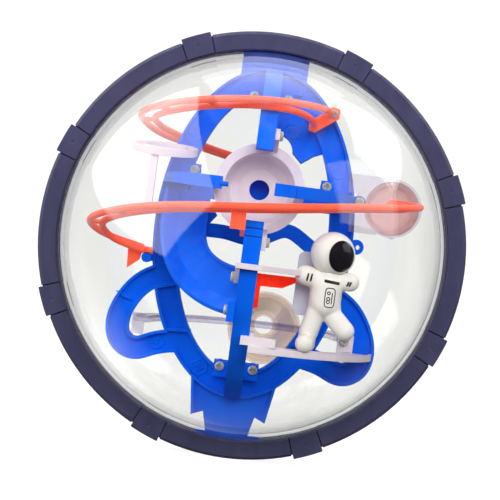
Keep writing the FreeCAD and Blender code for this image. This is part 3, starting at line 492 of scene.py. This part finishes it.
def clear_plastic(name, face_tint, edge_tint, haze=0.0, haze_colour=(1, 1, 1, 1), rough=0.02, wave=0.0, radius=0.0):
    """Tinted see-through wall with Fresnel gloss. Haze is the share of milky plastic in it."""
    material, tree = new_material(name)
    place = node(tree, "ShaderNodeTexCoord").outputs["Object"]
    skin = place_group(tree, SKIN, {"Vector": place, "Grain size mm": 0.8, "Flow size mm": 26.0})
    lines = place_group(tree, SCRATCHES, {"Vector": place})["Lines"]
    dusty = place_group(tree, DUST, {"Vector": place, "Amount": 0.25})["Mask"]
    smear = remap(tree, skin["Flow"], 0.0, 1.0, rough, rough + 0.03)
    matt = math_node(tree, "ADD", smear, math_node(tree, "MULTIPLY", lines, 0.12), clamp=True)
    bump = {"Height": skin["Flow"], "Distance": wave * MM}
    if radius:
        bump["Normal"] = place_group(tree, EDGES, {"Radius mm": radius})["Normal"]
    normal = node(tree, "ShaderNodeBump", bump).outputs[0]
    slant = node(tree, "ShaderNodeLayerWeight", {"Blend": 0.28}).outputs["Facing"]
    tint = mix_colour(tree, slant, face_tint, edge_tint)
    clear = node(tree, "ShaderNodeBsdfTransparent", {"Color": tint}).outputs[0]
    milky = node(tree, "ShaderNodeBsdfPrincipled", {"Base Color": haze_colour, "Roughness": 0.4}).outputs[0]
    share = math_node(tree, "ADD", remap(tree, skin["Flow"], 0.0, 1.0, haze * 0.8, haze * 1.2),
                      math_node(tree, "MULTIPLY", dusty, 0.12), clamp=True)
    wall = node(tree, "ShaderNodeMixShader", {0: share, 1: clear, 2: milky}).outputs[0]
    gloss = {"Base Color": (1, 1, 1, 1), "Metallic": 1.0, "Roughness": matt, "Normal": normal}
    mirror = node(tree, "ShaderNodeBsdfPrincipled", gloss).outputs[0]
    leaving = node(tree, "ShaderNodeNewGeometry").outputs["Backfacing"]
    index = remap(tree, leaving, 0.0, 1.0, 1.49, 1 / 1.49)
    fresnel = node(tree, "ShaderNodeFresnel", {"IOR": index, "Normal": normal}).outputs[0]
    both = node(tree, "ShaderNodeMixShader", {0: fresnel, 1: wall, 2: mirror}).outputs[0]
    surface(tree, both)
    return material


# %% Mix the clear plastics
SHELL = clear_plastic("clear ball plastic", (0.984, 0.986, 0.976, 1), (0.97, 0.97, 0.965, 1), haze=0.001,
                      haze_colour=srgb(236, 238, 234), rough=0.0, wave=0.0015)
CLEAR = clear_plastic("clear part plastic", (0.93, 0.90, 0.95, 1), (0.60, 0.58, 0.68, 1), haze=0.12,
                      haze_colour=srgb(222, 216, 228), rough=0.08, wave=0.05, radius=0.4)
PINK = clear_plastic("pink clear plastic", (0.95, 0.74, 0.74, 1), (0.62, 0.36, 0.36, 1), haze=0.10,
                     haze_colour=srgb(236, 176, 172), rough=0.08, wave=0.05, radius=0.4)
PEACH = clear_plastic("peach clear plastic", (0.95, 0.86, 0.80, 1), (0.72, 0.58, 0.50, 1), haze=0.07,
                      haze_colour=srgb(236, 208, 190), rough=0.08, wave=0.05, radius=0.4)
print("clear plastics:", [m.name for m in (SHELL, CLEAR, PINK, PEACH)])

# %% [markdown]
# ## Metal and the visor
# Screws are zinc-plated and a little dull, with faint lines from turning. The ball is polished steel with hair-fine
# scratches from rolling. The visor is black plastic under a clear glossy coat.

# %% Mix the metals and the visor's black


def worn_metal(name, colour, dark, rough, spacing, metal=1.0):
    """Metal whose roughness and tone follow a cloudy noise and thin scratches."""
    material, tree = new_material(name)
    place = node(tree, "ShaderNodeTexCoord").outputs["Object"]
    skin = place_group(tree, SKIN, {"Vector": place, "Grain size mm": 0.25, "Flow size mm": 2.0})
    lines = place_group(tree, SCRATCHES, {"Vector": place, "Spacing mm": spacing})["Lines"]
    tone = mix_colour(tree, skin["Flow"], colour, dark)
    matt = remap(tree, skin["Grain"], 0.3, 0.7, rough, rough + 0.12)
    matt = math_node(tree, "ADD", matt, math_node(tree, "MULTIPLY", lines, 0.15), clamp=True)
    edges = place_group(tree, EDGES, {"Radius mm": 0.15})
    bump = {"Height": lines, "Distance": -0.004 * MM, "Normal": edges["Normal"]}
    normal = node(tree, "ShaderNodeBump", bump).outputs[0]
    look = {"Base Color": tone, "Metallic": metal, "Roughness": matt, "Normal": normal}
    surface(tree, node(tree, "ShaderNodeBsdfPrincipled", look).outputs[0])
    return material


def visor_black():
    """Black glossy plastic with a clear coat, smeared here and there."""
    material, tree = new_material("black visor plastic")
    place = node(tree, "ShaderNodeTexCoord").outputs["Object"]
    skin = place_group(tree, SKIN, {"Vector": place, "Flow size mm": 4.0})
    lines = place_group(tree, SCRATCHES, {"Vector": place, "Spacing mm": 0.8})["Lines"]
    colour = mix_colour(tree, skin["Flow"], srgb(20, 18, 24), srgb(32, 27, 34))
    matt = math_node(tree, "ADD", remap(tree, skin["Flow"], 0.0, 1.0, 0.10, 0.2),
                     math_node(tree, "MULTIPLY", lines, 0.08), clamp=True)
    shell = node(tree, "ShaderNodeBsdfPrincipled", {"Base Color": colour, "Roughness": matt})
    shell.inputs["Specular IOR Level"].default_value = 0.3
    shell.inputs["Coat Weight"].default_value = 0.4
    shell.inputs["Coat Roughness"].default_value = 0.04
    surface(tree, shell.outputs[0])
    return material


ZINC = worn_metal("zinc screw plating", srgb(226, 224, 216), srgb(184, 180, 172), 0.3, 0.5, metal=0.4)
STEEL = worn_metal("polished ball steel", srgb(214, 216, 220), srgb(190, 192, 198), 0.05, 1.2)
VISOR = visor_black()
print("metals and visor:", [m.name for m in (ZINC, STEEL, VISOR)])

# %% [markdown]
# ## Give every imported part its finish
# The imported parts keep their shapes. Only their material slots change, by the kind of piece that each one is.

# %% Match finishes to parts
FINISHES = {
    "rim": SLATE, "main_plate": BLUE, "spine": BLUE, "cross_bar": BLUE, "gallery": BLUE, "wavy_track": BLUE,
    "chute": BLUE, "drop_elbow": BLUE, "orange_rail": ORANGE, "red_bracket": RED, "bowl": PALE,
    "white_ring": PALE, "walkway": PALE, "arm_bar": PALE, "catch_tray": CLEAR, "clear_rail": CLEAR,
    "catch_cup": PINK, "rear_funnel": PEACH, "figure_helmet": SUIT, "figure_body": SUIT,
    "figure_backpack": PACK, "figure_visor": VISOR, "screw": ZINC, "steel_ball": STEEL, "dome": SHELL,
}


def finish_for(name):
    """The finish whose key starts the part's name."""
    return next(material for key, material in FINISHES.items() if name.startswith(key))


for name, part in nodes.items():
    part.data.materials.clear()
    part.data.materials.append(finish_for(name))
print("finished", len(nodes), "parts")

# %% [markdown]
# ## The clear ball
# Each half is a turned shell: half a circle outside, a flat flange at its foot and half a circle inside. Reflections
# in clear plastic show every facet, so the halves are turned afresh on a fine grid. Where the blue plate's tabs pass
# between the flanges, the joint face steps back to leave them room.

# %% Turn a half of the ball
TAB_HALF_W = 14.2 * MM
TAB_END = 84.3 * MM
TAB_HALF_T = 1.3 * MM
TAB_START = BALL_R - 10 * MM
TINY_STEP = 0.1 * MM  # keeps the joint face's edge crisp


def half_ball(side, steps=96, columns=384):
    """Turned about Y: radius r sin(t), depth r cos(t) outside, the flange, then back at r less the wall."""
    foot = math.acos(FLANGE_T / BALL_R)
    outer = np.linspace(0, foot, steps)
    inner = np.linspace(np.pi / 2, 0, steps)
    inner_r = BALL_R - WALL
    radius = [BALL_R * np.sin(outer), [FLANGE_R, FLANGE_R, TAB_END, TAB_END - TINY_STEP], inner_r * np.sin(inner)]
    depth = [BALL_R * np.cos(outer), [FLANGE_T, 0, 0, 0], inner_r * np.cos(inner)]
    radius = np.concatenate(radius)[:, None]
    depth = np.concatenate(depth)[:, None]
    turn = np.linspace(0, 2 * np.pi, columns, endpoint=False)[None, :]
    x, z = radius * np.cos(turn), radius * np.sin(turn)
    joint = np.arange(len(radius))[:, None] > steps + 2
    by_tab = joint & (np.abs(x) < TAB_HALF_W) & (np.abs(z) > TAB_START)
    depth = np.where(by_tab, np.maximum(depth, TAB_HALF_T), depth + 0 * x)
    return np.stack([x, side * depth, z], axis=-1)


for name, side in (("dome_front", -1), ("dome_rear", 1)):
    mesh = grid_mesh("clear_half_" + name[5:], half_ball(side), wrap_columns=True)
    half = new_piece(mesh.name, mesh, SHELL)
    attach(half, "maze")
    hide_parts(name)
    print(half.name, len(mesh.polygons), "faces")

# %% [markdown]
# ## The spaceman's suit
# The suit is one soft moulding with no hard creases between its limbs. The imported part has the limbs' true places but
# meets in sharp lines. A copy is merged, rebuilt as one even skin and smoothed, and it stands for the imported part.

# %% Smooth the suit


def baked(piece):
    """Mesh of a piece with its modifiers applied; the piece itself is then removed."""
    graph = bpy.context.evaluated_depsgraph_get()
    mesh = bpy.data.meshes.new_from_object(piece.evaluated_get(graph))
    bpy.data.objects.remove(piece)
    return mesh


def smoothed_copy(part, name, voxel, passes):
    """Copy of a part, merged, remeshed at the voxel size and relaxed a number of times."""
    mesh = part.data.copy()
    finish_mesh(mesh)
    piece = new_piece(name, mesh)
    remesh = piece.modifiers.new("even skin", "REMESH")
    remesh.mode = "VOXEL"
    remesh.voxel_size = voxel
    relax = piece.modifiers.new("relax", "SMOOTH")
    relax.factor = 0.5
    relax.iterations = passes
    mesh = baked(piece)
    mesh.name = name
    finish_mesh(mesh, sharp=60)
    return mesh


suit_mesh = smoothed_copy(nodes["figure_body"], "suit", 0.4 * MM, 10)
suit = new_piece("suit", suit_mesh, SUIT)
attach(suit, "maze")
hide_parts("figure_body")
print("suit of", len(suit_mesh.polygons), "faces")

# %% [markdown]
# ## Marks and reliefs
# The suit carries a few printed lines, and the tracks have raised numbers in hexagons that count the checkpoints. All
# are flat designs in x and z, laid on whatever is behind them: a ray along +Y finds the surface under each point, and
# the point's own height is kept above it. Shrinkwrap does this for all the points at once.

# %% Lay a flat design on a part
BEFORE_BALL = -0.08  # y in front of every piece inside the ball


def lay_on(mesh, target, from_y):
    """Moves each point to y of the target behind it, plus its own y, seen from from_y along +Y."""
    count = len(mesh.vertices)
    points = np.empty(count * 3)
    mesh.vertices.foreach_get("co", points)
    points = points.reshape(-1, 3)
    probe_mesh = bpy.data.meshes.new("probe")
    starts = points.copy()
    starts[:, 1] = from_y
    probe_mesh.from_pydata(starts.tolist(), [], [])
    probe = new_piece("probe", probe_mesh)
    wrap = probe.modifiers.new("wrap", "SHRINKWRAP")
    wrap.target = target
    wrap.wrap_method = "PROJECT"
    wrap.use_project_y = True
    wrap.use_positive_direction = True
    landed_mesh = baked(probe)
    landed = np.empty(count * 3)
    landed_mesh.vertices.foreach_get("co", landed)
    points[:, 1] += landed.reshape(-1, 3)[:, 1]
    mesh.vertices.foreach_set("co", points.ravel())
    mesh.update()


def line_mesh(name, path, width, height, closed):
    """Raised line: a low rounded section carried along a path in x and z, standing towards -Y."""
    path = np.asarray(path, dtype=float)
    if closed:
        along = np.roll(path, -1, axis=0) - np.roll(path, 1, axis=0)
    else:
        along = np.gradient(path, axis=0)
    along /= np.linalg.norm(along, axis=1, keepdims=True)
    across = np.stack([-along[:, 1], along[:, 0]], axis=1)
    section = np.array([(-0.5, -0.6), (-0.5, 0.4), (-0.36, 0.85), (0, 1), (0.36, 0.85), (0.5, 0.4), (0.5, -0.6)])
    spread = path[:, None, :] + across[:, None, :] * (section[:, 0] * width)[None, :, None]
    depth = np.broadcast_to(-section[:, 1] * height, spread.shape[:2])
    points = np.stack([spread[..., 0], depth, spread[..., 1]], axis=-1)
    if not closed:
        first = np.broadcast_to(points[:1].mean(axis=1, keepdims=True), points[:1].shape)
        last = np.broadcast_to(points[-1:].mean(axis=1, keepdims=True), points[-1:].shape)
        points = np.concatenate([first, points, last])
    return grid_mesh(name, points, wrap_rows=closed, wrap_columns=True)


def straight(start, end, steps=8):
    """Even steps from start to end."""
    return np.linspace(start, end, steps)


def round_box(centre, half_w, half_h, corner, steps=64):
    """Closed path: a superellipse |x/w|^n + |z/h|^n = 1, whose power n is larger for smaller corners."""
    turn = np.linspace(0, 2 * np.pi, steps, endpoint=False)
    power = 2 / corner
    x = half_w * np.sign(np.cos(turn)) * np.abs(np.cos(turn)) ** power
    z = half_h * np.sign(np.sin(turn)) * np.abs(np.sin(turn)) ** power
    return np.stack([centre[0] + x, centre[1] + z], axis=1)


def joined(name, meshes):
    """One mesh that holds several."""
    work = bmesh.new()
    for mesh in meshes:
        work.from_mesh(mesh)
    whole = bpy.data.meshes.new(name)
    work.to_mesh(whole)
    work.free()
    return whole


# %% Print the suit's marks
PRINT_H = 0.12 * MM


def printed(name, lines, width):
    """Marks on the suit: each is (path, closed) in mm, at one line width in mm."""
    meshes = [line_mesh(name, np.asarray(path) * MM, width * MM, PRINT_H, closed) for path, closed in lines]
    mesh = joined(name, meshes)
    lay_on(mesh, suit, BEFORE_BALL)
    finish_mesh(mesh)
    piece = new_piece(name, mesh, INK)
    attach(piece, "maze")
    return piece


CHEST = (32.9, -16.4)
left_bands = [(straight((x, -11.0), (x + 0.4, -7.9)), False) for x in (23.1, 24.6)]
right_bands = [(straight((x, -11.1), (x + 0.7, -9.2)), False) for x in (39.0, 39.9)]
printed("suit_arm_bands", left_bands + right_bands, 0.7)
printed("suit_chest_bar", [(straight((30.0, -10.0), (36.1, -10.5), 24), False)], 1.2)
panel_lines = [(round_box(CHEST, 1.95, 3.75, 4.5), True)]
panel_lines += [(round_box((CHEST[0] - 0.55, CHEST[1] + 1.75), 0.55, 0.55, 2), True)]
panel_lines += [(round_box((CHEST[0] - 0.55, CHEST[1] + z), 0.6, 0.6, 2), True) for z in (-0.5, -1.7)]
panel_lines += [(straight((CHEST[0] + 0.85, CHEST[1] - 2.4), (CHEST[0] + 0.85, CHEST[1] + 2.0)), False)]
printed("suit_chest_panel", panel_lines, 0.4)
print("suit marks printed")

# %% Raise the checkpoint numbers
RAISED_H = 0.45 * MM


def hexagon(centre, reach, steps=10):
    """Closed path round six sides; each side is cut into even steps, so its corners stay crisp."""
    turn = np.radians(np.arange(7) * 60)
    corners = np.stack([centre[0] + reach * np.cos(turn), centre[1] + reach * 0.86 * np.sin(turn)], axis=1)
    sides = [np.linspace(corners[i], corners[i + 1], steps, endpoint=False) for i in range(6)]
    return np.concatenate(sides)


def number_mesh(text, centre, size, lean):
    """Digits as a mesh, lying in x and z and standing towards -Y, turned by lean degrees."""
    curve = bpy.data.curves.new("digits", "FONT")
    curve.body = text
    curve.size = size
    curve.align_x = "CENTER"
    curve.align_y = "CENTER"
    curve.extrude = RAISED_H
    holder = new_piece("digits", curve)
    mesh = baked(holder)
    bpy.data.curves.remove(curve)
    upright = Matrix.Rotation(math.pi / 2, 4, "X")
    mesh.transform(Matrix.Rotation(math.radians(-lean), 4, "Y") @ upright)
    mesh.transform(Matrix.Translation((centre[0], 0, centre[1])))
    return mesh


def checkpoint(text, x, z, lean, part, reach=3.9):
    """Number in a hexagon, raised from a track's face. x, z and reach are in mm."""
    name = "checkpoint_" + text
    ring_line = line_mesh(name, hexagon((0, 0), reach * MM), 0.45 * MM, RAISED_H, True)
    ring_line.transform(Matrix.Rotation(math.radians(-lean), 4, "Y"))
    ring_line.transform(Matrix.Translation((x * MM, 0, z * MM)))
    digits = number_mesh(text, (x * MM, z * MM), reach * 1.05 * MM, lean)
    mesh = joined(name, [ring_line, digits])
    lay_on(mesh, nodes[part], BEFORE_BALL)
    finish_mesh(mesh)
    piece = new_piece(name, mesh, BLUE)
    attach(piece, "maze")
    return piece


for place in (
    ("21", -35.2, -45.3, 0, "main_plate"), ("20", -15.5, -54.0, 35, "main_plate"),
    ("19", 46.0, -48.0, 0, "main_plate"), ("31", -30.8, 43.1, 30, "main_plate"),
    ("32", -10.5, 65.6, 10, "main_plate"), ("45", 10.5, 50.0, 0, "main_plate"),
    ("33", 32.0, 36.0, -40, "main_plate"),
):
    checkpoint(*place)

# %% [markdown]
# ## The grip pattern on the top tab
# A shallow framed row of bars breaks up the tab's bare face, as a moulder does to stiffen a thin wall.

# %% Raise the bars
BAR_ROW_Z = 78.2
bars = [(straight((x, BAR_ROW_Z - 1.3), (x, BAR_ROW_Z + 1.3)), False) for x in np.arange(-8.4, 8.5, 1.4)]
bars.append((round_box((0, BAR_ROW_Z), 10.4, 2.4, 7, 96), True))
row = [line_mesh("tab_bars", np.asarray(path) * MM, 0.55 * MM, RAISED_H, closed) for path, closed in bars]
tab_mesh = joined("tab_bars", row)
lay_on(tab_mesh, nodes["main_plate"], -0.02)
finish_mesh(tab_mesh)
tab_bars = new_piece("tab_bars", tab_mesh, BLUE)
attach(tab_bars, "maze")
print("tab bars:", len(tab_mesh.polygons), "faces")
